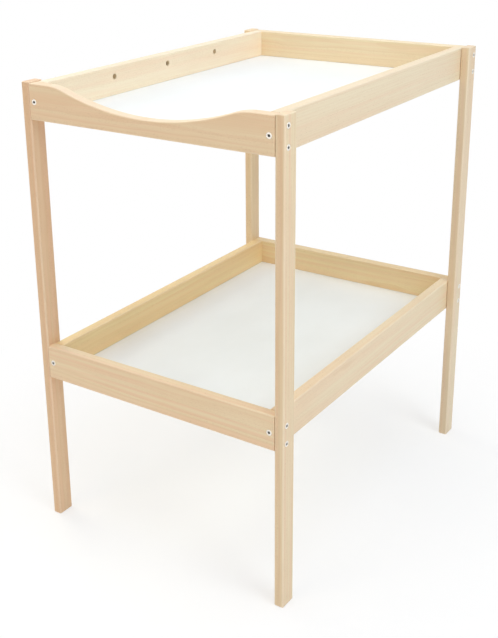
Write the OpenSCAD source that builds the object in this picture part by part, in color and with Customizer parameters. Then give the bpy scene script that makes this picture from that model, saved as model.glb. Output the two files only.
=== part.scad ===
// Nursery changing table of solid wood. Four legs stand outside two open box frames, an upper
// one for the changing pad and a lower one for baskets. Each frame holds a thin white shelf in
// grooves, and the front board of the upper frame has a wave cut.
// The origin is the middle of the footprint on the floor. X runs across the short side, Y along
// the long side with the wave board at -Y, and Z up. All sizes are in millimetres.

/* [Overall size] */
// Overall width, across the short side
table_w = 530; // [440:1:640]
// Overall length, along the long side
table_l = 735; // [580:1:900]
// Overall height, which is the length of the legs
table_h = 860; // [700:1:1050]

/* [Legs] */
// Thickness of a leg, across the short side
leg_t = 18; // [14:1:24]
// Width of a leg, along the long side
leg_w = 34; // [28:1:48]
// Rounding of a leg's edges
leg_round = 3; // [1:0.5:4]

/* [Frame boards] */
// Thickness of the boards
board_t = 20; // [16:1:26]
// Height of the boards
board_h = 64; // [54:1:90]
// Rounding of the boards' long edges
board_round = 2.5; // [1:0.5:4]
// Drop from the leg tops to the top of the upper boards
top_drop = 1.5; // [0:0.5:30]
// Height of the lower boards above the floor
lower_z = 300; // [100:1:480]

/* [Wave cut] */
// Length of the flat shoulder at each end of the wave board
shoulder_l = 39; // [34:1:60]
// Depth of the cut at the middle of the wave board
wave_depth = 35.5; // [15:0.5:40]
// Radius of the round shoulder where the cut begins
wave_r = 121; // [40:1:180]

/* [Shelves] */
// Thickness of a shelf
shelf_t = 4; // [3:0.5:6]
// Height of the grooves above the boards' lower edges
groove_z = 6; // [5:0.5:8]
// Depth of the grooves
groove_d = 7; // [5:0.5:9]
// Play of a shelf between the upper and lower face of its groove
shelf_play = 0.3; // [0.1:0.1:0.6]
// Gap between a shelf's edge and the bottom of its groove
shelf_gap = 1; // [0.5:0.5:3]

/* [Screws] */
// Length of a screw
screw_l = 50; // [40:1:60]
// Diameter of the thread over its crests
thread_d = 6.8; // [5:0.1:7]
// Depth of the thread
thread_deep = 0.9; // [0.4:0.1:1.2]
// Distance between thread crests
thread_pitch = 3; // [2:0.5:4]
// Diameter of the plain neck under the head
neck_d = 7; // [5:0.1:8]
// Diameter of the flat head
head_d = 10.5; // [9:0.1:12]
// Depth of the head from its face to the neck
head_t = 4; // [3:0.5:5]
// Width across flats of the hexagon socket
socket_af = 4; // [3:0.5:5]
// Depth of the hexagon socket
socket_deep = 3; // [2:0.5:4]
// Radial clearance between a screw and its hole
screw_play = 0.1; // [0.05:0.05:0.3]
// Distance between the two screws that join a leg to a board
leg_screw_gap = 33; // [24:1:36]

/* [Hook holes] */
// Diameter of the three holes in the upper left rail
hook_hole_d = 10; // [6:0.5:14]
// Distance between neighbouring holes
hook_hole_gap = 163; // [80:1:200]
// Height from the rail's top down to the holes' middle
hook_hole_drop = 19.5; // [14:0.5:28]

/* [Hidden] */
$fn = 64;
// Length by which a cutting shape runs past the face it opens
past = 1;
// Length of a screw's tapered tip and straight rim of its head
tip_l = 4;
head_rim = 1;
// Extra depth of a screw's hole past its tip
hole_spare = 2;

// The short boards reach from leg to leg, and the rails from short board to short board.
frame_w = table_w - 2 * leg_t;
rail_l = table_l - 2 * board_t;
upper_z = table_h - top_drop - board_h;
rail_x = frame_w / 2 - board_t / 2;
short_y = table_l / 2 - board_t / 2;
leg_x = table_w / 2 - leg_t / 2;
leg_y = table_l / 2 - leg_w / 2;
leg_screw_z = [board_h / 2 - leg_screw_gap / 2, board_h / 2 + leg_screw_gap / 2];

// The cut is a wide arc that meets a shoulder arc at the same slope on each side.
wave_half = frame_w / 2 - shoulder_l;
wave_radii = (wave_half * wave_half + wave_depth * wave_depth) / (2 * wave_depth);
belly_r = wave_radii - wave_r;
belly_z = board_h - wave_depth + belly_r;
meet_x = wave_half * belly_r / wave_radii;
meet_z = belly_z - (belly_z - board_h + wave_r) * belly_r / wave_radii;

wood = [0.88, 0.78, 0.62];
wood_light = [0.92, 0.84, 0.71];
board_white = [0.96, 0.96, 0.95];
plated_steel = [0.78, 0.78, 0.76];

// Rectangle from the origin with its corners rounded.
module rounded_rect(a, b, r) {
    translate([r, 0]) square([a - 2 * r, b]);
    translate([0, r]) square([a, b - 2 * r]);
    for (x = [r, a - r], y = [r, b - r]) translate([x, y]) circle(r);
}

// Board along X, centred on the z axis and standing on z = 0, with its long edges rounded.
module board(l) {
    translate([-l / 2, -board_t / 2, 0])
        rotate([90, 0, 90])
            linear_extrude(l) rounded_rect(board_t, board_h, board_round);
}

// Groove along X in the face at y = board_t / 2 of a board of length l.
module groove(l) {
    translate([-l / 2 - past, board_t / 2 - groove_d, groove_z])
        cube([l + 2 * past, groove_d + past, shelf_t + shelf_play]);
}

// One screw, its head's face at z = 0 and its tip towards -Z.
module screw() {
    crest = thread_d / 2;
    root = crest - thread_deep;
    thread_top = -leg_t;
    turns = floor((screw_l - tip_l + thread_top) / thread_pitch);
    tip_z = -screw_l + tip_l;
    profile = concat(
        [[0, 0], [head_d / 2, 0], [head_d / 2, -head_rim], [neck_d / 2, -head_t]],
        [[neck_d / 2, thread_top], [root, thread_top]],
        [for (i = [0 : turns - 1], side = [0, 1])
            [side == 0 ? crest : root, thread_top - (i + (side + 1) / 2) * thread_pitch]],
        [[root, tip_z], [0, -screw_l]]
    );
    difference() {
        rotate_extrude() polygon(profile);
        translate([0, 0, -socket_deep])
            cylinder(d = socket_af / cos(30), h = socket_deep + past, $fn = 6);
    }
}

// Room for one screw in the same place as screw(). The head's cone beds on the countersink,
// and the rim, neck and thread run clear.
module screw_hole() {
    translate([0, 0, -screw_l - hole_spare])
        cylinder(d = neck_d + 2 * screw_play, h = screw_l + hole_spare);
    translate([0, 0, -head_t])
        cylinder(d1 = neck_d, d2 = head_d, h = head_t - head_rim);
    translate([0, 0, -head_rim])
        cylinder(d = head_d + 2 * screw_play, h = head_rim + past);
}

// Puts its child at the two places where the leg on side sx, sy is screwed to the board that
// starts at height z, with the child's head outwards.
module at_leg_screws(sx, sy, z) {
    for (dz = leg_screw_z)
        translate([sx * table_w / 2, sy * short_y, z + dz])
            rotate([0, sx * 90, 0]) children();
}

// Puts its child where the short board on side sy, from height z, is screwed to both rails.
module at_board_screws(sy, z) {
    for (sx = [-1, 1])
        translate([sx * rail_x, sy * table_l / 2, z + board_h / 2])
            rotate([-sy * 90, 0, 0]) children();
}

module leg(sx, sy) {
    color(wood)
    difference() {
        translate([sx * leg_x, sy * leg_y, 0])
        intersection() {
            translate([-leg_t / 2, -leg_w / 2, 0])
                linear_extrude(table_h) rounded_rect(leg_t, leg_w, leg_round);
            translate([-leg_t / 2, leg_w / 2, 0])
                rotate([90, 0, 0])
                    linear_extrude(leg_w) rounded_rect(leg_t, table_h, leg_round / 2);
            translate([-leg_t / 2, -leg_w / 2, 0])
                rotate([90, 0, 90])
                    linear_extrude(leg_t) rounded_rect(leg_w, table_h, leg_round / 2);
        }
        for (z = [lower_z, upper_z]) at_leg_screws(sx, sy, z) screw_hole();
    }
}

// Short board on side sy, from height z, with its groove inwards.
module short_board(sy, z) {
    color(wood)
    difference() {
        translate([0, sy * short_y, z])
            rotate([0, 0, sy > 0 ? 180 : 0])
                difference() {
                    board(frame_w);
                    groove(frame_w);
                }
        for (sx = [-1, 1]) at_leg_screws(sx, sy, z) screw_hole();
        at_board_screws(sy, z) screw_hole();
    }
}

// Outline of the wave cut, with the board's lower edge on y = 0.
module wave_outline() {
    intersection() {
        translate([0, belly_z]) circle(belly_r, $fn = 180);
        translate([-meet_x, 0]) square([2 * meet_x, board_h + past]);
    }
    for (side = [0, 1]) mirror([side, 0])
        difference() {
            translate([meet_x, meet_z]) square([wave_half - meet_x, board_h + past - meet_z]);
            translate([wave_half, board_h - wave_r]) circle(wave_r, $fn = 180);
        }
}

module upper_front_panel() {
    color(wood)
    difference() {
        short_board(-1, upper_z);
        translate([0, -table_l / 2 + board_t + past, upper_z])
            rotate([90, 0, 0])
                linear_extrude(board_t + 2 * past) wave_outline();
    }
}

// Rail on side sx, from height z, with its groove inwards.
module rail(sx, z) {
    color(wood_light)
    difference() {
        translate([sx * rail_x, 0, z])
            rotate([0, 0, sx * 90])
                difference() {
                    board(rail_l);
                    groove(rail_l);
                }
        for (sy = [-1, 1]) at_board_screws(sy, z) screw_hole();
    }
}

module upper_left_rail() {
    color(wood_light)
    difference() {
        rail(-1, upper_z);
        for (i = [-1 : 1])
            translate([-rail_x, i * hook_hole_gap, upper_z + board_h - hook_hole_drop])
                rotate([0, 90, 0])
                    cylinder(d = hook_hole_d, h = board_t + 2 * past, center = true);
    }
}

// Shelf that lies on the lower faces of the grooves of the frame from height z.
module shelf(z) {
    reach = 2 * (groove_d - shelf_gap);
    shelf_w = frame_w - 2 * board_t + reach;
    shelf_l = rail_l + reach;
    color(board_white)
        translate([-shelf_w / 2, -shelf_l / 2, z + groove_z]) cube([shelf_w, shelf_l, shelf_t]);
}

module leg_screws(sx, sy) {
    color(plated_steel)
        for (z = [lower_z, upper_z]) at_leg_screws(sx, sy, z) screw();
}

module board_screws(sy, z) {
    color(plated_steel) at_board_screws(sy, z) screw();
}

leg(-1, -1);  // leg_front_left
leg(1, -1);  // leg_front_right
leg(-1, 1);  // leg_back_left
leg(1, 1);  // leg_back_right
upper_front_panel();
short_board(1, upper_z);  // upper_back_panel
upper_left_rail();
rail(1, upper_z);  // upper_right_rail
short_board(-1, lower_z);  // lower_front_panel
short_board(1, lower_z);  // lower_back_panel
rail(-1, lower_z);  // lower_left_rail
rail(1, lower_z);  // lower_right_rail
shelf(upper_z);  // upper_shelf
shelf(lower_z);  // lower_shelf
leg_screws(-1, -1);  // leg_screws_front_left
leg_screws(1, -1);  // leg_screws_front_right
leg_screws(-1, 1);  // leg_screws_back_left
leg_screws(1, 1);  // leg_screws_back_right
board_screws(-1, upper_z);  // upper_front_screws
board_screws(1, upper_z);  // upper_back_screws
board_screws(-1, lower_z);  // lower_front_screws
board_screws(1, lower_z);  // lower_back_screws
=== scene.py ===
"""The visual model of a beech changing table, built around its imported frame.

Four legs stand outside two open box frames of boards. Each frame holds a thin white shelf in
grooves, and flat-headed screws hold the joints. Every piece is modelled where the frame has it,
in metres: X across the short side, Y along the long side with the wave board at -Y, Z up.
"""
import math

import bmesh
import bpy
from bpy.props import FloatProperty, FloatVectorProperty, PointerProperty
from mathutils import Matrix, Vector


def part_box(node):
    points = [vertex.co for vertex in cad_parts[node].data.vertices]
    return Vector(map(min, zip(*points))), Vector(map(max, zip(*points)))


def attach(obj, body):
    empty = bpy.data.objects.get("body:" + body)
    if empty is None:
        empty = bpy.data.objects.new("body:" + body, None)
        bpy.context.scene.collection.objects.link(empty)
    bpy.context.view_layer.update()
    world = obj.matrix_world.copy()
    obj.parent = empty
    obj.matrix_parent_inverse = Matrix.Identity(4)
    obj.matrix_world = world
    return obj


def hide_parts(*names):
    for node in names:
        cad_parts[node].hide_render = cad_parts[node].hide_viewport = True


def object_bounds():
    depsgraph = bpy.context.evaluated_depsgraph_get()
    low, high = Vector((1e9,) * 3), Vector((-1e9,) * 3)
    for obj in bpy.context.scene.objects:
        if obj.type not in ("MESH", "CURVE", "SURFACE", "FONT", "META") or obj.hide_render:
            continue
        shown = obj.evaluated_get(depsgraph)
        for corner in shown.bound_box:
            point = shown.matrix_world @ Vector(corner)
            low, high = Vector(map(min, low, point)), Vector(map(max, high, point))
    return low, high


bl_info = {
    "name": "Changing table",
    "version": (1, 0, 0),
    "blender": (4, 5, 0),
    "location": "3D View > Sidebar > Changing table",
    "description": "Builds a beech changing table, its finishes and its studio",
    "category": "Object",
}

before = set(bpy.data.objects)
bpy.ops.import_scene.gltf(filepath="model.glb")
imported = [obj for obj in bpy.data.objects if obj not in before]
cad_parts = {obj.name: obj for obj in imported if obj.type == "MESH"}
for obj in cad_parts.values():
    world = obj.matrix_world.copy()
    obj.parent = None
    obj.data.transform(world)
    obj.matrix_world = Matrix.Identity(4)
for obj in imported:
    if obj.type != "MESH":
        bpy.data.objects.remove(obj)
frame_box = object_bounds()

BODY = "root"
PAST = 0.001  # how far a cutting shape runs past the face it opens
TINY = 1e-5  # points nearer than this are in one place
FLOOR_DROP = 0.0002  # keeps the floor and the feet out of one plane
SMOOTH_ANGLE = math.radians(33)
SCREW_TURN = 2.4  # each screw stops turned this much farther than the one before, in radians

# How many faces go across a rounded edge, round a turned shape and along the wave.
LEG_STEPS, LEG_END_STEPS = 5, 3
BOARD_STEPS, BOARD_END_STEPS = 4, 2
FOIL_STEPS = 3
SCREW_SIDES, SCREW_HOLE_SIDES, HOOK_HOLE_SIDES = 48, 40, 48
SHOULDER_STEPS, WAVE_STEPS = 12, 60

# Each leg's side of the table, -1 at -X and 1 at +X.
LEG_SIDES = {"front_left": -1, "front_right": 1, "back_left": -1, "back_right": 1}
LEVELS = ("lower", "upper")

# What the frame says of the sizes that the modelling needs.
leg_low, leg_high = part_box("leg_front_left")
wave_low, wave_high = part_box("upper_front_panel")
head_low, head_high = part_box("upper_front_screws")
screw_low, screw_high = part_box("leg_screws_front_left")
screw_length = screw_high.x - screw_low.x
leg_thick = leg_high.x - leg_low.x
board_thick = wave_high.y - wave_low.y


# ---------------------------------------------------------------- settings


def length(name, description, default, low=0.0, high=1.0):
    return FloatProperty(
        name=name,
        description=description,
        default=default,
        min=low,
        max=high,
        precision=4,
        unit="LENGTH",
        subtype="DISTANCE",
    )


def share(name, description, default, high=1.0):
    return FloatProperty(
        name=name, description=description, default=default, min=0.0, max=high, subtype="FACTOR"
    )


def colour(name, description, default):
    return FloatVectorProperty(
        name=name,
        description=description,
        default=default,
        min=0.0,
        max=1.0,
        size=3,
        subtype="COLOR",
    )


def power(name, description, default):
    return FloatProperty(name=name, description=description, default=default, unit="POWER")


class TableShape(bpy.types.PropertyGroup):
    """Sizes of the table's own details that the frame doesn't give"""

    leg_round: length("Leg rounding", "Radius of a leg's long edges", 0.003, 0.0, 0.006)
    leg_end_round: length("Leg end rounding", "Radius of the edges at a leg's ends", 0.0015)
    board_round: length("Board rounding", "Radius of a board's long edges", 0.0025, 0.0, 0.006)
    board_end_round: length("Board end rounding", "Radius of a board's sawn ends", 0.0004)
    shoulder_length: length("Wave shoulder", "Flat length at each end of the wave board", 0.039)
    wave_depth: length("Wave depth", "Depth of the cut at the wave board's middle", 0.0355)
    shoulder_radius: length("Shoulder radius", "Radius where the wave cut begins", 0.121)
    groove_gap: length("Groove gap", "Gap between a shelf's edge and its groove's bottom", 0.001)
    groove_play: length("Groove play", "Play above a shelf in its groove", 0.0003)
    shelf_round: length("Shelf rounding", "Radius of the foil's edges on a shelf", 0.0004)
    hook_hole_width: length("Hook hole", "Diameter of the holes in the upper left rail", 0.010)
    hook_hole_gap: length("Hook hole distance", "Distance between neighbouring holes", 0.163)
    hook_hole_drop: length("Hook hole drop", "From the rail's top to the holes' middle", 0.0195)
    hook_hole_round: length("Hook hole rounding", "Radius of the holes' sanded rims", 0.0008)
    head_width: length(
        "Screw head", "Diameter of a screw's flat head", head_high.z - head_low.z
    )
    head_height: length("Head height", "From a head's face to its neck", 0.004)
    head_rim: length("Head rim", "Height of the straight rim of a head", 0.001)
    neck_width: length("Neck", "Diameter of a screw's plain neck", 0.007)
    thread_width: length("Thread", "Diameter of a screw over its thread", 0.0068)
    thread_depth: length("Thread depth", "Depth of a screw's thread", 0.0009)
    thread_pitch: length("Thread pitch", "Distance between thread crests", 0.003)
    socket_width: length("Socket", "Width across flats of the hexagon socket", 0.004)
    socket_depth: length("Socket depth", "Depth of the hexagon socket", 0.003)
    screw_play: length("Screw play", "Clearance between a screw and its hole", 0.0001)


class TableFinish(bpy.types.PropertyGroup):
    """Colours and finishes of the table"""

    beech_light: colour("Early wood", "Pale wood between two growth rings", (0.838, 0.694, 0.487))
    beech_dark: colour("Late wood", "Darker wood at a growth ring", (0.70, 0.47, 0.26))
    beech_blush: colour("Blush", "Pinkish wood that drifts in along a board", (0.815, 0.617, 0.418))
    beech_band: colour("Bands", "Rosy narrow bands along the grain", (0.835, 0.565, 0.385))
    # Partly a painted highlight: every rounded edge is made paler, as sanded wood and as light
    # caught on the rounding.
    beech_edge_and_highlight: colour("Eased edges and painted highlight", "Paler sanded edge and painted highlight", (0.97, 0.86, 0.70))
    fleck: colour("Flecks", "Short ray flecks", (0.50, 0.31, 0.17))
    # Partly painted shade: unlacquered wood in holes and grooves, made darker for the shade inside
    # them.
    raw_wood_and_shade: colour("Cut wood and painted shade", "Unlacquered wood inside a hole, darkened as painted shade", (0.62, 0.50, 0.31))
    ring_width: length("Ring width", "Distance between two growth rings", 0.0031)
    lacquer: share("Lacquer", "Weight of the clear satin lacquer", 0.22)
    lacquer_roughness: share("Lacquer roughness", "Roughness of the lacquer", 0.32)
    foil: colour("Foil", "White foil on the shelves", (0.893, 0.902, 0.892))
    foil_warm: colour("Foil shade", "Slight warm drift in the foil", (0.865, 0.872, 0.855))
    foil_scratch: colour("Foil scratches", "Hair scratches in the foil", (0.74, 0.74, 0.72))
    foil_smudge: colour("Foil smudges", "Soft smudges on the foil", (0.80, 0.79, 0.76))
    zinc: colour("Zinc", "Bright zinc plating of the screws", (0.93, 0.885, 0.815))
    zinc_dull: colour("Dull zinc", "Plating where it is dull", (0.80, 0.755, 0.68))
    # Painted shade: near-black colour filling each hexagon socket.
    socket_painted_shade: colour("Socket", "Painted shade inside a socket", (0.085, 0.070, 0.052))


class TableStudio(bpy.types.PropertyGroup):
    """Floor, light and camera"""

    floor: colour("Floor", "Pale floor", (0.965, 0.935, 0.905))
    floor_radius: length("Floor radius", "Radius of the floor", 40.0, 1.0, 100.0)
    floor_near: length("Lit floor", "Radius round the table where the floor is lit", 0.3, 0.1, 9.0)
    floor_far: length("Bright floor", "Radius from where the floor is plain white", 0.9, 0.2, 20.0)
    floor_white: share("Floor's own white", "White that hides the shadows near the table", 0.5)
    sky: share("Sky", "Strength of the light from straight above", 0.94, 3.0)
    sky_tone: colour("Sky colour", "Colour of the light from above", (0.85, 0.89, 1.0))
    key_power: power("Key light", "Power of the large light on the right", 55.0)
    top_power: power("Top light", "Power of the light overhead", 24.0)
    front_power: power("Front light", "Power of the soft light in front", 26.0)
    left_power: power("Left light", "Power of the soft light on the left", 43.0)
    camera_place: FloatVectorProperty(
        name="Camera",
        description="Place of the camera",
        default=(1.03306, -1.64695, 1.19229),
        unit="LENGTH",
        subtype="TRANSLATION",
    )
    azimuth: FloatProperty(
        name="Azimuth",
        description="Turn of the camera about the table",
        default=math.radians(35.003),
        unit="ROTATION",
        subtype="ANGLE",
    )
    elevation: FloatProperty(
        name="Elevation",
        description="Tilt of the camera down to the table",
        default=math.radians(19.023),
        unit="ROTATION",
        subtype="ANGLE",
    )
    roll: FloatProperty(
        name="Roll",
        description="Roll of the camera",
        default=math.radians(-1.023),
        unit="ROTATION",
        subtype="ANGLE",
    )
    lens: FloatProperty(
        name="Lens", description="Focal length", default=59.15, unit="CAMERA"
    )
    shift: FloatVectorProperty(
        name="Shift", description="Shift of the lens", default=(0.0533, -0.1317), size=2
    )


# ---------------------------------------------------------------- modelling


def block(low, high):
    """A closed block between two corners."""
    bm = bmesh.new()
    bmesh.ops.create_cube(bm, size=1.0)
    bmesh.ops.scale(bm, vec=high - low, verts=bm.verts)
    bmesh.ops.translate(bm, vec=(low + high) / 2, verts=bm.verts)
    return bm


def round_edges(bm, edges, radius, steps):
    """Rounds edges with a number of faces across each."""
    bmesh.ops.bevel(
        bm,
        geom=edges,
        offset=radius,
        offset_type="OFFSET",
        affect="EDGES",
        segments=steps,
        profile=0.5,
        material=-1,
        clamp_overlap=True,
    )


def edges_along(bm, axis):
    """The straight edges that run along axis 0, 1 or 2."""
    found = []
    for edge in bm.edges:
        way = (edge.verts[1].co - edge.verts[0].co).normalized()
        if abs(way[axis]) > 0.999:
            found.append(edge)
    return found


def edges_at(bm, axis, places):
    """The edges that lie in one of the planes at right angles to axis."""
    return [
        edge
        for edge in bm.edges
        if any(all(abs(v.co[axis] - place) < TINY for v in edge.verts) for place in places)
    ]


def turned(profile, steps):
    """A shape turned about Z from (radius, height) points. It is closed if they start and end
    on Z."""
    bm = bmesh.new()
    verts = [bm.verts.new((radius, 0.0, height)) for radius, height in profile]
    edges = [bm.edges.new(pair) for pair in zip(verts, verts[1:])]
    bmesh.ops.spin(
        bm,
        geom=verts + edges,
        cent=(0, 0, 0),
        axis=(0, 0, 1),
        dvec=(0, 0, 0),
        angle=2 * math.pi,
        steps=steps,
        use_merge=True,
        use_duplicate=False,
    )
    bmesh.ops.remove_doubles(bm, verts=bm.verts, dist=TINY / 10)
    bmesh.ops.recalc_face_normals(bm, faces=bm.faces)
    return bm


def joined(parts):
    """One bmesh of (bmesh, place) pairs. The parts are freed."""
    whole = bmesh.new()
    for part, place in parts:
        mesh = bpy.data.meshes.new("part")
        part.to_mesh(mesh)
        mesh.transform(place)
        whole.from_mesh(mesh)
        bpy.data.meshes.remove(mesh)
        part.free()
    return whole


def cut(bm, cutter):
    """Takes the cutter out of the solid with an exact Boolean. Both are freed, and the cut
    faces come back with material index 1."""
    for face in cutter.faces:
        face.material_index = 1
    work = []
    for shape in (bm, cutter):
        mesh = bpy.data.meshes.new("work")
        shape.to_mesh(mesh)
        shape.free()
        for _ in range(2):  # the Boolean keeps material index 1 only where there are two slots
            mesh.materials.append(None)
        thing = bpy.data.objects.new("work", mesh)
        bpy.context.scene.collection.objects.link(thing)
        work.append(thing)
    solid, tool = work
    boolean = solid.modifiers.new("Cut", "BOOLEAN")
    boolean.operation, boolean.solver, boolean.object = "DIFFERENCE", "EXACT", tool
    graph = bpy.context.evaluated_depsgraph_get()
    mesh = bpy.data.meshes.new_from_object(solid.evaluated_get(graph))
    done = bmesh.new()
    done.from_mesh(mesh)
    bpy.data.meshes.remove(mesh)
    for thing in work:
        mesh = thing.data
        bpy.data.objects.remove(thing)
        bpy.data.meshes.remove(mesh)
    return done


def mark_work(mesh):
    """Stores on each face corner how far it is on a rounded edge, and whether it lies in a
    hole, a groove or a socket. The middle of a rounded edge counts more than its borders."""
    bm = bmesh.new()
    bm.from_mesh(mesh)
    flat = {face.index: max(abs(c) for c in face.normal) > 0.9999 for face in bm.faces}
    eased, bored = [], []
    for face in bm.faces:
        for loop in face.loops:
            on_edge = not flat[face.index] and face.material_index == 0
            inside = all(not flat[f.index] for f in loop.vert.link_faces)
            eased.append(float(on_edge) * (1.0 if inside else 0.3))
            bored.append(float(face.material_index))
    bm.free()
    for name, values in (("eased", eased), ("bored", bored)):
        mesh.attributes.new(name, "FLOAT", "CORNER").data.foreach_set("value", values)
    for polygon in mesh.polygons:
        polygon.material_index = 0


def mark_timber(mesh, pith, tint):
    """Stores on each face corner where the tree's pith is, and the board's tint with the
    strength of its figure. On the upper left rail the tint also holds painted light."""
    corners = len(mesh.loops)
    place = mesh.attributes.new("pith", "FLOAT_VECTOR", "CORNER")
    place.data.foreach_set("vector", [c for _ in range(corners) for c in pith])
    shade = mesh.attributes.new("tint", "FLOAT_COLOR", "CORNER")
    shade.data.foreach_set("color", [c for _ in range(corners) for c in tint])


def add_piece(name, bm, material, node, pith=None, tint=None):
    """Makes the piece from its bmesh and puts it on the frame in the CAD node's stead."""
    mesh = bpy.data.meshes.new(name)
    bm.to_mesh(mesh)
    bm.free()
    mark_work(mesh)
    if pith is not None:
        mark_timber(mesh, pith, tint)
    mesh.materials.clear()
    mesh.materials.append(material)
    mesh.shade_smooth()
    mesh.set_sharp_from_angle(angle=SMOOTH_ANGLE)
    piece = bpy.data.objects.new(name, mesh)
    bpy.context.scene.collection.objects.link(piece)
    normals = piece.modifiers.new("Flat faces stay flat", "WEIGHTED_NORMAL")
    normals.keep_sharp = True
    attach(piece, BODY)
    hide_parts(node)
    return piece


# ---------------------------------------------------------------- screws and their holes


def leg_screw_places(side):
    """Where the four screws of a leg sit, the lower board's two first. Each has its head's
    face at z = 0 and Z outwards."""
    out = LEG_SIDES[side]
    low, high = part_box("leg_screws_" + side)
    middles = [sum((p.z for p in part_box(level + "_front_panel")), 0.0) / 2 for level in LEVELS]
    # The screws sit this far above and below a board's middle.
    off = middles[0] - low.z - (head_high.z - head_low.z) / 2
    outer = high.x if out > 0 else low.x
    return [
        Matrix.Translation((outer, (low.y + high.y) / 2, middle + way * off))
        @ Matrix.Rotation(out * math.pi / 2, 4, "Y")
        for middle in middles
        for way in (-1, 1)
    ]


def board_screw_places(level, end):
    """Where the two screws through a short board sit. End is front or back."""
    low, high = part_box(f"{level}_{end}_screws")
    out = -1 if end == "front" else 1
    outer = low.y if out < 0 else high.y
    reach = (head_high.z - head_low.z) / 2
    return [
        Matrix.Translation((x, outer, (low.z + high.z) / 2))
        @ Matrix.Rotation(-out * math.pi / 2, 4, "X")
        for x in (low.x + reach, high.x - reach)
    ]


def screw_hole(shape):
    """The room that a screw takes in the wood: rim, countersink, and a bore for the neck."""
    rim = shape.head_width / 2 + shape.screw_play
    bore = shape.neck_width / 2 + shape.screw_play
    deep = screw_length + 0.002
    profile = [
        (0, PAST),
        (rim, PAST),
        (rim, -shape.head_rim),
        (shape.head_width / 2, -shape.head_rim),
        (bore, -shape.head_height),
        (bore, -deep),
        (0, -deep),
    ]
    return turned(profile, SCREW_HOLE_SIDES)


def hexagon(bm, across, height):
    """A closed loop of six edges about Z."""
    made = bmesh.ops.create_circle(
        bm,
        cap_ends=False,
        segments=6,
        radius=across / 2 / math.cos(math.pi / 6),
        matrix=Matrix.Translation((0, 0, height)),
    )
    edges = []
    for v in made["verts"]:
        edges += [edge for edge in v.link_edges if edge not in edges]
    return edges


def screw(shape):
    """One screw, its head's face at z = 0 and its tip towards -Z."""
    head, neck = shape.head_width / 2, shape.neck_width / 2
    crest = shape.thread_width / 2
    root = crest - shape.thread_depth
    tip = 0.004
    soft = 0.00035
    lip_depth = 0.00025
    drill_point = 0.0006
    opening = shape.socket_width * 1.05
    profile = [(head - soft * 1.6, 0)]
    profile += [
        (head - soft + soft * math.sin(a), -soft + soft * math.cos(a))
        for a in (math.radians(30), math.radians(60), math.radians(90))
    ]
    profile += [(head, -shape.head_rim), (neck, -shape.head_height), (neck, -leg_thick)]
    profile.append((root, -leg_thick - shape.thread_depth / 2))
    turns = int((screw_length - tip - leg_thick) / shape.thread_pitch)
    for i in range(turns):
        start = -leg_thick - i * shape.thread_pitch
        for radius, along in ((root, 0.30), (crest, 0.50), (crest, 0.58), (root, 0.78)):
            profile.append((radius, start - shape.thread_pitch * along))
    profile += [(root, -screw_length + tip), (root / 3, -screw_length + tip / 5)]
    profile.append((0, -screw_length))
    bm = turned(profile, SCREW_SIDES)
    rim = [edge for edge in bm.edges if edge.is_boundary]
    lip = hexagon(bm, opening, 0)
    bmesh.ops.bridge_loops(bm, edges=rim + lip)
    throat = hexagon(bm, shape.socket_width, -lip_depth)
    bmesh.ops.bridge_loops(bm, edges=lip + throat)
    deep = hexagon(bm, shape.socket_width, -shape.socket_depth)
    walls = bmesh.ops.bridge_loops(bm, edges=throat + deep)["faces"]
    floor = bmesh.ops.contextual_create(bm, geom=deep)["faces"]
    poked = bmesh.ops.poke(bm, faces=floor)
    bmesh.ops.translate(bm, vec=(0, 0, -drill_point), verts=poked["verts"])
    for face in walls + poked["faces"]:
        face.material_index = 1
    bmesh.ops.recalc_face_normals(bm, faces=bm.faces)
    return bm


def screw_group(shape, places, first):
    """Several screws, each turned in its own way."""
    return joined(
        [
            (screw(shape), place @ Matrix.Rotation((first + i) * SCREW_TURN, 4, "Z"))
            for i, place in enumerate(places)
        ]
    )


# ---------------------------------------------------------------- wood


def groove(shape, level, axis):
    """The room for a shelf's edges, which runs past the ends of a board along axis."""
    low, high = (corner.copy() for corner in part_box(level + "_shelf"))
    for a in (0, 1):
        low[a] -= shape.groove_gap
        high[a] += shape.groove_gap
    low[axis] = frame_box[0][axis]
    high[axis] = frame_box[1][axis]
    high.z += shape.groove_play
    return block(low, high)


def straight_board(shape, node, axis):
    """A board with its long edges rounded and its sawn ends just eased."""
    low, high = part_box(node)
    bm = block(low, high)
    round_edges(bm, edges_along(bm, axis), shape.board_round, BOARD_STEPS)
    ends = edges_at(bm, axis, (low[axis], high[axis]))
    round_edges(bm, ends, shape.board_end_round, BOARD_END_STEPS)
    return bm


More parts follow.
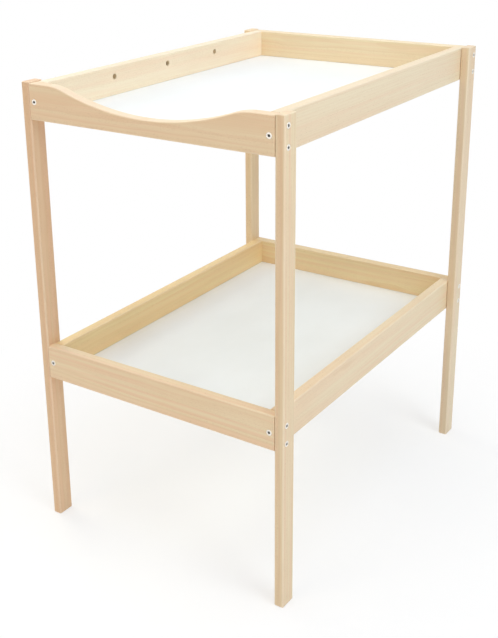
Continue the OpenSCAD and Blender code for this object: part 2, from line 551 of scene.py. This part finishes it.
def wave_board(shape):
    """The front board of the upper frame. Its upper edge runs from a flat shoulder round a
    shoulder arc into one wide arc, and back up."""
    low, high = wave_low, wave_high
    half = high.x - shape.shoulder_length
    # The arcs run into each other without a corner if their two radii add up to this.
    radii = (half**2 + shape.wave_depth**2) / (2 * shape.wave_depth)
    swing = math.asin(half / radii)
    belly = radii - shape.shoulder_radius
    centres = (
        ((-half, low.y, high.z - shape.shoulder_radius), swing, SHOULDER_STEPS),
        ((0, low.y, high.z - shape.wave_depth + belly), -2 * swing, WAVE_STEPS),
        ((half, low.y, high.z - shape.shoulder_radius), swing, SHOULDER_STEPS),
    )
    bm = bmesh.new()
    start = bm.verts.new((-half, low.y, high.z))
    tip = start
    for centre, angle, steps in centres:
        made = bmesh.ops.spin(
            bm,
            geom=[tip],
            cent=centre,
            axis=(0, 1, 0),
            dvec=(0, 0, 0),
            angle=angle,
            steps=steps,
            use_merge=False,
            use_duplicate=False,
        )
        tip = next(g for g in made["geom_last"] if isinstance(g, bmesh.types.BMVert))
    chain = [tip]
    for x, z in ((high.x, high.z), (high.x, low.z), (low.x, low.z), (low.x, high.z)):
        chain.append(bm.verts.new((x, low.y, z)))
    chain.append(start)
    for pair in zip(chain, chain[1:]):
        bm.edges.new(pair)
    face = bmesh.ops.contextual_create(bm, geom=bm.edges[:])["faces"]
    grown = bmesh.ops.extrude_face_region(bm, geom=face)
    moved = [g for g in grown["geom"] if isinstance(g, bmesh.types.BMVert)]
    bmesh.ops.translate(bm, vec=(0, board_thick, 0), verts=moved)
    bmesh.ops.recalc_face_normals(bm, faces=bm.faces)
    ends = (low.x, high.x)
    outline = [
        edge
        for edge in edges_at(bm, 1, (low.y, high.y))
        if not any(all(abs(v.co.x - x) < TINY for v in edge.verts) for x in ends)
    ]
    round_edges(bm, outline, shape.board_round, BOARD_STEPS)
    round_edges(bm, edges_at(bm, 0, ends), shape.board_end_round, BOARD_END_STEPS)
    return bm


def hook_hole(shape):
    """The room of one hook hole, along Z, with its rims rounded."""
    radius, soft, half = shape.hook_hole_width / 2, shape.hook_hole_round, board_thick / 2
    profile = [(0, half + PAST), (radius + soft, half + PAST)]
    for turn in range(5):
        a = math.radians(90 - 22.5 * turn)
        profile.append((radius + soft - soft * math.cos(a), half - soft + soft * math.sin(a)))
    profile += [(r, -z) for r, z in reversed(profile)]
    return turned(profile, HOOK_HOLE_SIDES)


# ---------------------------------------------------------------- node trees

FLOAT, VECTOR = "NodeSocketFloat", "NodeSocketVector"
WHITE = (1.0, 1.0, 1.0, 1.0)


def feed(tree, socket, value):
    """Links the socket to another node's output, or sets it to a value."""
    if isinstance(value, bpy.types.NodeSocket):
        tree.links.new(value, socket)
    else:
        socket.default_value = value


def add(tree, kind, inputs=None, **settings):
    """Adds a node with its settings, and sets or links its inputs."""
    made = tree.nodes.new(kind)
    for key, value in settings.items():
        setattr(made, key, value)
    for key, value in (inputs or {}).items():
        feed(tree, made.inputs[key], value)
    return made


def calc(tree, operation, *values):
    """A Math node of one or two values."""
    return add(tree, "ShaderNodeMath", dict(enumerate(values)), operation=operation).outputs[0]


def vector_calc(tree, operation, *values, output=0):
    """A Vector Math node. The second value of SCALE is a number."""
    keys = (0, "Scale") if operation == "SCALE" else (0, 1)
    made = add(tree, "ShaderNodeVectorMath", dict(zip(keys, values)), operation=operation)
    return made.outputs[output]


def stepped(tree, value, start, end, to_low=0.0, to_high=1.0):
    """Value turned smoothly from start..end into to_low..to_high."""
    values = dict(enumerate((value, start, end, to_low, to_high)))
    made = add(tree, "ShaderNodeMapRange", values, interpolation_type="SMOOTHSTEP")
    return made.outputs[0]


def mixed(tree, amount, first, second, blend="MIX"):
    """The first colour with an amount of the second laid over it."""
    made = add(tree, "ShaderNodeMix", data_type="RGBA", blend_type=blend)
    colours = [s for s in made.inputs if s.type == "RGBA"]
    for socket, value in zip((made.inputs[0], *colours), (amount, first, second)):
        feed(tree, socket, value)
    return next(s for s in made.outputs if s.type == "RGBA")


def noise(tree, vector, scale, detail=2.0, roughness=0.5, output="Fac"):
    """Soft cloudy noise, by default as one value."""
    made = add(
        tree,
        "ShaderNodeTexNoise",
        {"Vector": vector, "Scale": scale, "Detail": detail, "Roughness": roughness},
    )
    return made.outputs[output]


def stretched(tree, vector, x, y, z):
    """The vector times x, y and z: a larger number makes a pattern finer that way."""
    return vector_calc(tree, "MULTIPLY", vector, (x, y, z))


def new_group(name, inputs, outputs):
    """An empty node group with its inputs and its outputs, which are single values. Returns
    its tree and what it is given."""
    tree = bpy.data.node_groups.new(name, "ShaderNodeTree")
    for title, kind in inputs.items():
        tree.interface.new_socket(name=title, in_out="INPUT", socket_type=kind)
    for title in outputs:
        tree.interface.new_socket(name=title, in_out="OUTPUT", socket_type=FLOAT)
    return tree, tree.nodes.new("NodeGroupInput").outputs


def close_group(tree, **values):
    """Links the values to the group's outputs of the same names."""
    add(tree, "NodeGroupOutput", values)
    return tree


def rgba(values):
    """A colour with full alpha."""
    return (*values, 1.0)


def timber_group():
    """Growth rings, fibres, ray flecks and changes of tone in wood whose grain runs along Z."""
    name = "Timber"
    if name in bpy.data.node_groups:
        return bpy.data.node_groups[name]
    tree, given = new_group(
        name,
        {"Vector": VECTOR, "Pith": VECTOR, "Ring Width": FLOAT, "Waviness": FLOAT},
        ("Rings", "Fibres", "Flecks", "Drift", "Bands"),
    )
    place = given["Vector"]
    # The grain wanders slowly along the board, and ripples a little.
    sway = noise(tree, stretched(tree, place, 5, 5, 1.3), 1.0, 2.0, 0.55, "Color")
    sway = vector_calc(tree, "SUBTRACT", sway, (0.5, 0.5, 0.5))
    sway = vector_calc(tree, "SCALE", sway, given["Waviness"])
    ripple = noise(tree, stretched(tree, place, 30, 30, 7), 1.0, 2.0, 0.5, "Color")
    ripple = vector_calc(tree, "SUBTRACT", ripple, (0.5, 0.5, 0.5))
    ripple = vector_calc(tree, "SCALE", ripple, 0.0035)
    local = vector_calc(tree, "SUBTRACT", place, given["Pith"])
    local = vector_calc(tree, "ADD", vector_calc(tree, "ADD", local, sway), ripple)
    # How far the point is from the pith, and how many years that is. Wide and narrow years
    # follow each other, and each year ends in a thin line of late wood.
    parts = add(tree, "ShaderNodeSeparateXYZ", {"Vector": local}).outputs
    x, y = parts["X"], parts["Y"]
    radius = calc(
        tree, "SQRT", calc(tree, "ADD", calc(tree, "MULTIPLY", x, x), calc(tree, "MULTIPLY", y, y))
    )
    years = calc(tree, "DIVIDE", radius, given["Ring Width"])
    slow = add(tree, "ShaderNodeTexNoise", {"W": years, "Scale": 0.23}, noise_dimensions="1D")
    years = calc(tree, "ADD", years, calc(tree, "MULTIPLY", slow.outputs["Fac"], 3.0))
    part = calc(tree, "FRACT", years)
    year = calc(tree, "FLOOR", years)
    chance = add(tree, "ShaderNodeTexWhiteNoise", {"W": year}, noise_dimensions="1D")
    late = calc(
        tree,
        "MULTIPLY",
        stepped(tree, part, 0.25, 0.90),
        stepped(tree, part, 0.90, 1.0, 1.0, 0.0),
    )
    rings = calc(
        tree, "MULTIPLY", late, stepped(tree, chance.outputs["Value"], 0.0, 1.0, 0.25, 1.0)
    )
    fibres = noise(tree, stretched(tree, place, 620, 620, 13), 1.0, 3.0, 0.6)
    # The rays run out from the pith, so their flecks lie in (radius, turn, height).
    around = calc(tree, "MULTIPLY", calc(tree, "ARCTAN2", y, x), 0.08)
    ray_place = add(tree, "ShaderNodeCombineXYZ", {"X": radius, "Y": around, "Z": parts["Z"]})
    ray_place = stretched(tree, ray_place.outputs[0], 170, 900, 230)
    cells = add(tree, "ShaderNodeTexVoronoi", {"Vector": ray_place, "Scale": 1.0})
    spot = stepped(tree, cells.outputs["Distance"], 0.18, 0.34, 1.0, 0.0)
    cell = add(tree, "ShaderNodeSeparateColor", {"Color": cells.outputs["Color"]})
    some = stepped(tree, cell.outputs[0], 0.62, 0.66)
    flecks = calc(tree, "MULTIPLY", spot, some)
    # Broad and narrow changes of tone along the grain.
    drift = noise(tree, stretched(tree, place, 22, 22, 1.6), 1.0, 2.0, 0.5)
    bands = noise(tree, stretched(tree, place, 120, 120, 2.2), 1.0, 2.0, 0.55)
    return close_group(
        tree, Rings=rings, Fibres=fibres, Flecks=flecks, Drift=drift, Bands=bands
    )


def handling_group():
    """Hair scratches and soft smudges that use leaves on any finish."""
    name = "Handling marks"
    if name in bpy.data.node_groups:
        return bpy.data.node_groups[name]
    tree, given = new_group(
        name, {"Vector": VECTOR, "Scale": FLOAT}, ("Scratches", "Smudges")
    )
    place = vector_calc(tree, "SCALE", given["Vector"], given["Scale"])
    bend = vector_calc(tree, "SCALE", noise(tree, place, 0.7, 2, 0.5, "Color"), 1.5)
    bent = vector_calc(tree, "ADD", place, bend)
    cells = add(
        tree,
        "ShaderNodeTexVoronoi",
        {"Vector": stretched(tree, bent, 0.35, 1.0, 0.6), "Scale": 1.0},
        feature="DISTANCE_TO_EDGE",
    )
    line = stepped(tree, cells.outputs["Distance"], 0.0, 0.012, 1.0, 0.0)
    here = stepped(tree, noise(tree, place, 0.45, 1), 0.55, 0.7)
    smudges = stepped(tree, noise(tree, place, 0.12, 3, 0.55), 0.35, 0.75)
    return close_group(tree, Scratches=calc(tree, "MULTIPLY", line, here), Smudges=smudges)


def new_material(name):
    """A material with no nodes yet, and its tree."""
    material = bpy.data.materials.new(name)
    material.use_nodes = True
    tree = material.node_tree
    tree.nodes.clear()
    return material, tree


def finish_material(tree, inputs, height=None, strength=0.2, distance=0.0002):
    """Ends a material in a Principled BSDF, with a bump from height."""
    if height is not None:
        bump = add(
            tree,
            "ShaderNodeBump",
            {"Height": height, "Strength": strength, "Distance": distance},
        )
        inputs["Normal"] = bump.outputs["Normal"]
    surface = add(tree, "ShaderNodeBsdfPrincipled", inputs)
    end = add(tree, "ShaderNodeOutputMaterial")
    tree.links.new(surface.outputs[0], end.inputs["Surface"])


def object_place(tree):
    """The point's place in metres, the same for every piece."""
    return add(tree, "ShaderNodeTexCoord").outputs["Object"]


def use_group(tree, group, **values):
    """Places a node group with its own values, and returns its outputs."""
    made = add(tree, "ShaderNodeGroup", node_tree=group)
    for title, value in values.items():
        feed(tree, made.inputs[title.replace("_", " ")], value)
    return made.outputs


def beech(grain_axis):
    """Satin-lacquered beech with its grain along axis 0, 1 or 2."""
    name = "Beech along " + "XYZ"[grain_axis]
    if name in bpy.data.materials:
        return bpy.data.materials[name]
    finish = bpy.context.scene.table_finish
    material, tree = new_material(name)
    place = object_place(tree)
    axes = add(tree, "ShaderNodeSeparateXYZ", {"Vector": place}).outputs
    # The timber group's Z runs along the grain.
    turn = [(grain_axis + 1) % 3, (grain_axis + 2) % 3, grain_axis]
    along = add(
        tree, "ShaderNodeCombineXYZ", {"X": axes[turn[0]], "Y": axes[turn[1]], "Z": axes[turn[2]]}
    ).outputs[0]
    stored = {
        key: add(tree, "ShaderNodeAttribute", attribute_name=key).outputs
        for key in ("pith", "tint", "eased", "bored")
    }
    wood = use_group(
        tree,
        timber_group(),
        Vector=along,
        Pith=stored["pith"]["Vector"],
        Ring_Width=finish.ring_width,
        Waviness=0.011,
    )
    marks = use_group(tree, handling_group(), Vector=place, Scale=38.0)
    shade = mixed(
        tree,
        stepped(tree, wood["Drift"], 0.35, 0.72, 0.0, 0.75),
        rgba(finish.beech_light),
        rgba(finish.beech_blush),
    )
    figure = stored["tint"]["Alpha"]
    bands = calc(tree, "MULTIPLY", stepped(tree, wood["Bands"], 0.42, 0.64), figure)
    shade = mixed(tree, bands, shade, rgba(finish.beech_band))
    rings = calc(tree, "MULTIPLY", wood["Rings"], figure)
    shade = mixed(tree, rings, shade, rgba(finish.beech_dark))
    streak = stepped(tree, wood["Fibres"], 0.42, 0.78, 0.0, 0.22)
    shade = mixed(tree, streak, shade, rgba(finish.beech_dark))
    shade = mixed(tree, calc(tree, "MULTIPLY", wood["Flecks"], 0.38), shade, rgba(finish.fleck))
    # The board's tint. On the upper left rail it is painted light.
    shade = mixed(tree, 1.0, shade, stored["tint"]["Color"], "MULTIPLY")
    shade = mixed(
        tree, calc(tree, "MULTIPLY", marks["Smudges"], 0.05), shade, rgba(finish.beech_dark)
    )
    # Rounded edges made paler: sanded wood, and partly a painted highlight.
    shade = mixed(
        tree, calc(tree, "MULTIPLY", stored["eased"]["Fac"], 0.2), shade, rgba(finish.beech_edge_and_highlight)
    )
    # Holes and grooves get unlacquered wood, darkened as painted shade in the recess.
    shade = mixed(
        tree, calc(tree, "MULTIPLY", stored["bored"]["Fac"], 0.6), shade, rgba(finish.raw_wood_and_shade)
    )
    rough = calc(tree, "ADD", 0.40, calc(tree, "MULTIPLY", wood["Fibres"], 0.16))
    rough = calc(tree, "ADD", rough, calc(tree, "MULTIPLY", marks["Smudges"], 0.06))
    rough = calc(tree, "ADD", rough, calc(tree, "MULTIPLY", stored["bored"]["Fac"], 0.3))
    height = calc(tree, "SUBTRACT", wood["Fibres"], calc(tree, "MULTIPLY", wood["Flecks"], 0.5))
    height = calc(tree, "SUBTRACT", height, calc(tree, "MULTIPLY", wood["Rings"], 0.3))
    height = calc(tree, "SUBTRACT", height, calc(tree, "MULTIPLY", marks["Scratches"], 0.4))
    finish_material(
        tree,
        {
            "Base Color": shade,
            "Roughness": rough,
            "Coat Weight": finish.lacquer,
            "Coat Roughness": finish.lacquer_roughness,
        },
        height,
        0.35,
        0.00012,
    )
    return material


def white_foil():
    """Smooth white foil with the faint relief of its print roller."""
    name = "White foil"
    if name in bpy.data.materials:
        return bpy.data.materials[name]
    finish = bpy.context.scene.table_finish
    material, tree = new_material(name)
    place = object_place(tree)
    marks = use_group(tree, handling_group(), Vector=place, Scale=16.0)
    cloud = noise(tree, stretched(tree, place, 7, 4, 7), 1.0, 3.0, 0.55)
    shade = mixed(
        tree, stepped(tree, cloud, 0.35, 0.7), rgba(finish.foil), rgba(finish.foil_warm)
    )
    shade = mixed(
        tree, calc(tree, "MULTIPLY", marks["Scratches"], 0.10), shade, rgba(finish.foil_scratch)
    )
    shade = mixed(
        tree, calc(tree, "MULTIPLY", marks["Smudges"], 0.05), shade, rgba(finish.foil_smudge)
    )
    peel = noise(tree, place, 900.0, 2.0, 0.6)
    rough = calc(tree, "ADD", 0.34, calc(tree, "MULTIPLY", marks["Smudges"], 0.10))
    rough = calc(tree, "ADD", rough, calc(tree, "MULTIPLY", peel, 0.06))
    height = calc(tree, "SUBTRACT", peel, calc(tree, "MULTIPLY", marks["Scratches"], 0.5))
    finish_material(
        tree,
        {"Base Color": shade, "Roughness": rough, "Specular IOR Level": 0.35},
        height,
        0.12,
        0.00005,
    )
    return material


def zinc_plate():
    """Bright zinc plating, a little dull and finely scratched where the key has turned it."""
    name = "Zinc plate"
    if name in bpy.data.materials:
        return bpy.data.materials[name]
    finish = bpy.context.scene.table_finish
    material, tree = new_material(name)
    place = object_place(tree)
    marks = use_group(tree, handling_group(), Vector=place, Scale=900.0)
    cloud = noise(tree, place, 420.0, 3.0, 0.6)
    shade = mixed(
        tree, stepped(tree, cloud, 0.42, 0.75, 0.0, 0.6), rgba(finish.zinc), rgba(finish.zinc_dull)
    )
    shade = mixed(
        tree, calc(tree, "MULTIPLY", marks["Scratches"], 0.35), shade, rgba(finish.zinc_dull)
    )
    inside = add(tree, "ShaderNodeAttribute", attribute_name="bored").outputs["Fac"]
    # Painted shade: the socket's faces take a near-black colour.
    shade = mixed(tree, inside, shade, rgba(finish.socket_painted_shade))
    # A thin clear film dulls the plating, and the socket is bare metal.
    metal = calc(tree, "ADD", 0.8, calc(tree, "MULTIPLY", inside, 0.2))
    rough = calc(tree, "ADD", 0.38, calc(tree, "MULTIPLY", cloud, 0.2))
    height = noise(tree, place, 2600.0, 2.0)
    height = calc(tree, "SUBTRACT", height, calc(tree, "MULTIPLY", marks["Scratches"], 0.4))
    finish_material(
        tree, {"Base Color": shade, "Metallic": metal, "Roughness": rough}, height, 0.10, 0.00002
    )
    return material


def seen_or_mirrored(tree):
    """1 for what the camera sees directly or in a glossy surface."""
    path = add(tree, "ShaderNodeLightPath").outputs
    return calc(tree, "MAXIMUM", path["Is Camera Ray"], path["Is Glossy Ray"])


def pale_floor():
    """Pale floor, lit near the table and plain white to the camera farther off. It can't be
    seen from below, so that the underside shows."""
    name = "Pale floor"
    if name in bpy.data.materials:
        return bpy.data.materials[name]
    studio = bpy.context.scene.table_studio
    material, tree = new_material(name)
    place = object_place(tree)
    cloud = noise(tree, place, 1.1, 3.0, 0.5)
    paler = [min(1.0, c * 1.015) for c in studio.floor]
    shade = mixed(tree, stepped(tree, cloud, 0.3, 0.7), rgba(studio.floor), rgba(paler))
    lit = add(tree, "ShaderNodeBsdfPrincipled", {"Base Color": shade, "Roughness": 0.75})
    white = add(tree, "ShaderNodeEmission", {"Color": WHITE, "Strength": 1.0})
    clear = add(tree, "ShaderNodeBsdfTransparent")
    away = vector_calc(tree, "LENGTH", place, output="Value")
    far = stepped(tree, away, studio.floor_near, studio.floor_far, studio.floor_white, 1.0)
    white_share = calc(tree, "MULTIPLY", far, seen_or_mirrored(tree))
    fade = add(tree, "ShaderNodeMixShader", {0: white_share})
    tree.links.new(lit.outputs[0], fade.inputs[1])
    tree.links.new(white.outputs[0], fade.inputs[2])
    side = add(tree, "ShaderNodeNewGeometry").outputs["Backfacing"]
    mix = add(tree, "ShaderNodeMixShader", {0: side})
    tree.links.new(fade.outputs[0], mix.inputs[1])
    tree.links.new(clear.outputs[0], mix.inputs[2])
    end = add(tree, "ShaderNodeOutputMaterial")
    tree.links.new(mix.outputs[0], end.inputs["Surface"])
    return material


# ---------------------------------------------------------------- operators

# The tree's pith beside each board, from the board's middle, across the grain, and the
# board's tint with the strength of its figure. The upper left rail's tint is painted light.
LEG_WOOD = {
    "front_left": ((-0.052, 0.018), (0.945, 0.80, 0.70, 0.42)),
    "front_right": ((-0.020, 0.046), (0.985, 0.96, 0.89, 0.55)),
    "back_left": ((-0.061, -0.030), (1.03, 0.99, 0.86, 0.30)),
    "back_right": ((-0.035, 0.058), (0.96, 0.95, 0.91, 0.36)),
}
SHORT_WOOD = {
    "upper_front": ((0.075, 0.012), (1.03, 0.98, 0.92, 0.34)),
    "upper_back": ((-0.058, 0.020), (1.02, 1.03, 0.96, 0.30)),
    "lower_front": ((0.049, 0.010), (1.05, 1.03, 0.97, 0.62)),
    "lower_back": ((-0.066, -0.012), (1.06, 1.04, 0.87, 0.38)),
}
RAIL_WOOD = {
    # Painted light: this rail's tint is paler and whiter than its wood, for the light on its inner
    # face.
    "upper_left": ((0.015, -0.070), (1.12, 1.16, 1.20, 0.25)),
    "upper_right": ((0.060, 0.055), (1.0, 1.0, 0.98, 0.28)),
    "lower_left": ((-0.010, -0.055), (1.06, 0.99, 0.73, 0.40)),
    "lower_right": ((0.020, 0.068), (1.0, 0.985, 0.93, 0.34)),
}


def pith_of(node, axis, offset):
    """The pith's place across the grain, in the order that the material for axis reads."""
    low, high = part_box(node)
    middle = (low + high) / 2
    return (middle[(axis + 1) % 3] + offset[0], middle[(axis + 2) % 3] + offset[1], 0.0)


class TABLE_OT_legs(bpy.types.Operator):
    """Make the four legs with their rounded edges and screw holes"""

    bl_idname = "changing_table.legs"
    bl_label = "Legs"

    def execute(self, context):
        shape = context.scene.table_shape
        for side, (offset, tint) in LEG_WOOD.items():
            node = "leg_" + side
            low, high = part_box(node)
            bm = block(low, high)
            round_edges(bm, edges_along(bm, 2), shape.leg_round, LEG_STEPS)
            ends = edges_at(bm, 2, (low.z, high.z))
            round_edges(bm, ends, shape.leg_end_round, LEG_END_STEPS)
            holes = [(screw_hole(shape), place) for place in leg_screw_places(side)]
            bm = cut(bm, joined(holes))
            pith = pith_of(node, 2, offset)
            add_piece(side + "_leg", bm, beech(2), node, pith, tint)
        return {"FINISHED"}


def short_board_piece(shape, level, end, bm):
    """Cuts a short board's groove and screw holes, and adds it."""
    node = f"{level}_{end}_panel"
    places = board_screw_places(level, end)
    first = 0 if level == "lower" else 2
    for side in LEG_SIDES:
        if side.startswith(end):
            places += leg_screw_places(side)[first : first + 2]
    cutters = [(groove(shape, level, 0), Matrix.Identity(4))]
    cutters += [(screw_hole(shape), place) for place in places]
    offset, tint = SHORT_WOOD[f"{level}_{end}"]
    name = "wave_board" if (level, end) == ("upper", "front") else f"{level}_{end}_board"
    add_piece(
        name,
        cut(bm, joined(cutters)),
        beech(0),
        node,
        pith_of(node, 0, offset),
        tint,
    )


class TABLE_OT_wave_board(bpy.types.Operator):
    """Make the wave-cut front board of the upper frame"""

    bl_idname = "changing_table.wave_board"
    bl_label = "Wave board"

    def execute(self, context):
        shape = context.scene.table_shape
        short_board_piece(shape, "upper", "front", wave_board(shape))
        return {"FINISHED"}


class TABLE_OT_short_boards(bpy.types.Operator):
    """Make the three straight short boards with their grooves and screw holes"""

    bl_idname = "changing_table.short_boards"
    bl_label = "Short boards"

    def execute(self, context):
        shape = context.scene.table_shape
        for level, end in (("upper", "back"), ("lower", "front"), ("lower", "back")):
            bm = straight_board(shape, f"{level}_{end}_panel", 0)
            short_board_piece(shape, level, end, bm)
        return {"FINISHED"}


class TABLE_OT_rails(bpy.types.Operator):
    """Make the four long rails, the upper left one with its row of hook holes"""

    bl_idname = "changing_table.rails"
    bl_label = "Rails"

    def execute(self, context):
        shape = context.scene.table_shape
        for name, (offset, tint) in RAIL_WOOD.items():
            level, side = name.split("_")
            node = name + "_rail"
            low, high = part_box(node)
            cutters = [(groove(shape, level, 1), Matrix.Identity(4))]
            for end in ("front", "back"):
                left, right = board_screw_places(level, end)
                cutters.append((screw_hole(shape), left if side == "left" else right))
            if name == "upper_left":
                z = high.z - shape.hook_hole_drop
                for i in (-1, 0, 1):
                    place = Matrix.Translation(((low.x + high.x) / 2, i * shape.hook_hole_gap, z))
                    place @= Matrix.Rotation(math.pi / 2, 4, "Y")
                    cutters.append((hook_hole(shape), place))
            bm = cut(straight_board(shape, node, 1), joined(cutters))
            pith = pith_of(node, 1, offset)
            add_piece(f"{level}_{side}_board", bm, beech(1), node, pith, tint)
        return {"FINISHED"}


class TABLE_OT_shelves(bpy.types.Operator):
    """Make the two white shelves with their foil's soft edges"""

    bl_idname = "changing_table.shelves"
    bl_label = "Shelves"

    def execute(self, context):
        shape = context.scene.table_shape
        for level in LEVELS:
            node = level + "_shelf"
            bm = block(*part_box(node))
            round_edges(bm, bm.edges[:], shape.shelf_round, FOIL_STEPS)
            add_piece(f"{level}_white_shelf", bm, white_foil(), node)
        return {"FINISHED"}


class TABLE_OT_screws(bpy.types.Operator):
    """Make the screws that join legs, boards and rails"""

    bl_idname = "changing_table.screws"
    bl_label = "Screws"

    def execute(self, context):
        shape = context.scene.table_shape
        count = 0
        for side in LEG_SIDES:
            bm = screw_group(shape, leg_screw_places(side), count)
            add_piece(
                side + "_leg_bolts", bm, zinc_plate(), "leg_screws_" + side
            )
            count += 4
        for level in LEVELS:
            for end in ("front", "back"):
                bm = screw_group(shape, board_screw_places(level, end), count)
                name = f"{level}_{end}"
                add_piece(name + "_bolts", bm, zinc_plate(), name + "_screws")
                count += 2
        return {"FINISHED"}


# The place, width and tone of each soft light.
LIGHTS = {
    "key": ((2.9, -0.6, 2.3), 2.2, (0.81, 0.91, 0.98)),
    "top": ((0.2, -0.2, 3.1), 2.6, (0.86, 0.935, 1.0)),
    "front": ((-0.6, -3.2, 2.2), 2.4, (1.0, 0.87, 0.64)),
    "left": ((-3.0, 0.4, 2.2), 2.4, (1.0, 0.99, 0.79)),
}
LIT_POINT = Vector((0.0, 0.0, 0.55))


def add_area(name, place, size, watts, tone):
    """A round soft light that is aimed at the lit point."""
    light = bpy.data.lights.new(name, "AREA")
    light.shape = "DISK"
    light.size, light.energy, light.color = size, watts, tone
    lamp = bpy.data.objects.new(name, light)
    lamp.location = place
    lamp.rotation_euler = (LIT_POINT - Vector(place)).to_track_quat("-Z", "Y").to_euler()
    bpy.context.scene.collection.objects.link(lamp)


def studio_sky(studio):
    """A world that lights from above, brightest straight overhead, and that the camera and
    any gloss see as plain white."""
    world = bpy.data.worlds.new("Studio")
    world.use_nodes = True
    tree = world.node_tree
    tree.nodes.clear()
    way = add(tree, "ShaderNodeTexCoord").outputs["Generated"]
    height = add(tree, "ShaderNodeSeparateXYZ", {"Vector": way}).outputs["Z"]
    strength = calc(tree, "POWER", calc(tree, "MAXIMUM", height, 0.0), 1.5)
    strength = calc(tree, "MULTIPLY", strength, studio.sky)
    tone = rgba(studio.sky_tone)
    light = add(tree, "ShaderNodeBackground", {"Color": tone, "Strength": strength})
    white = add(tree, "ShaderNodeBackground", {"Color": WHITE, "Strength": 1.0})
    mix = add(tree, "ShaderNodeMixShader", {0: seen_or_mirrored(tree)})
    tree.links.new(light.outputs[0], mix.inputs[1])
    tree.links.new(white.outputs[0], mix.inputs[2])
    end = add(tree, "ShaderNodeOutputWorld")
    tree.links.new(mix.outputs[0], end.inputs["Surface"])
    return world


class TABLE_OT_stage(bpy.types.Operator):
    """Make the pale floor, the soft studio light and the camera"""

    bl_idname = "changing_table.stage"
    bl_label = "Floor, light and camera"

    def execute(self, context):
        studio = context.scene.table_studio
        scene = context.scene
        bm = bmesh.new()
        bmesh.ops.create_circle(bm, cap_ends=True, segments=64, radius=studio.floor_radius)
        bmesh.ops.translate(bm, vec=(0, 0, frame_box[0].z - FLOOR_DROP), verts=bm.verts)
        mesh = bpy.data.meshes.new("floor")
        bm.to_mesh(mesh)
        bm.free()
        mesh.materials.append(pale_floor())
        floor = bpy.data.objects.new("floor", mesh)
        scene.collection.objects.link(floor)

        scene.world = studio_sky(studio)
        for name, (place, size, tone) in LIGHTS.items():
            add_area(name, place, size, getattr(studio, name + "_power"), tone)

        data = bpy.data.cameras.new("camera")
        data.sensor_width, data.lens = 36.0, studio.lens
        data.shift_x, data.shift_y = studio.shift
        data.clip_end = 200.0
        a, e, r = studio.azimuth, studio.elevation, studio.roll
        back = Vector((math.sin(a) * math.cos(e), -math.cos(a) * math.cos(e), math.sin(e)))
        right = Vector((math.cos(a), math.sin(a), 0.0))
        up = back.cross(right)
        right, up = right * math.cos(r) + up * math.sin(r), up * math.cos(r) - right * math.sin(r)
        turn = Matrix((right, up, back)).transposed()
        camera = bpy.data.objects.new("camera", data)
        camera.matrix_world = Matrix.Translation(studio.camera_place) @ turn.to_4x4()
        scene.collection.objects.link(camera)
        scene.camera = camera
        scene.view_settings.view_transform = "Standard"
        return {"FINISHED"}


OPERATORS = (
    TABLE_OT_legs,
    TABLE_OT_wave_board,
    TABLE_OT_short_boards,
    TABLE_OT_rails,
    TABLE_OT_shelves,
    TABLE_OT_screws,
    TABLE_OT_stage,
)


class TABLE_PT_panel(bpy.types.Panel):
    """The table's settings and the steps that make it"""

    bl_idname = "TABLE_PT_panel"
    bl_label = "Changing table"
    bl_space_type = "VIEW_3D"
    bl_region_type = "UI"
    bl_category = "Changing table"

    def draw(self, context):
        scene = context.scene
        for group in (scene.table_shape, scene.table_finish, scene.table_studio):
            box = self.layout.box()
            for name in group.bl_rna.properties.keys():
                if name not in ("rna_type", "name"):
                    box.prop(group, name)
        for operator in OPERATORS:
            self.layout.operator(operator.bl_idname)


CLASSES = (TableShape, TableFinish, TableStudio, *OPERATORS, TABLE_PT_panel)


def register():
    for item in CLASSES:
        bpy.utils.register_class(item)
    bpy.types.Scene.table_shape = PointerProperty(type=TableShape)
    bpy.types.Scene.table_finish = PointerProperty(type=TableFinish)
    bpy.types.Scene.table_studio = PointerProperty(type=TableStudio)


def unregister():
    for name in ("table_shape", "table_finish", "table_studio"):
        delattr(bpy.types.Scene, name)
    for item in reversed(CLASSES):
        bpy.utils.unregister_class(item)


def main():
    register()
    steps = bpy.ops.changing_table
    steps.legs()
    steps.wave_board()
    steps.short_boards()
    steps.rails()
    steps.shelves()
    steps.screws()
    steps.stage()


if __name__ == "__main__":
    main()
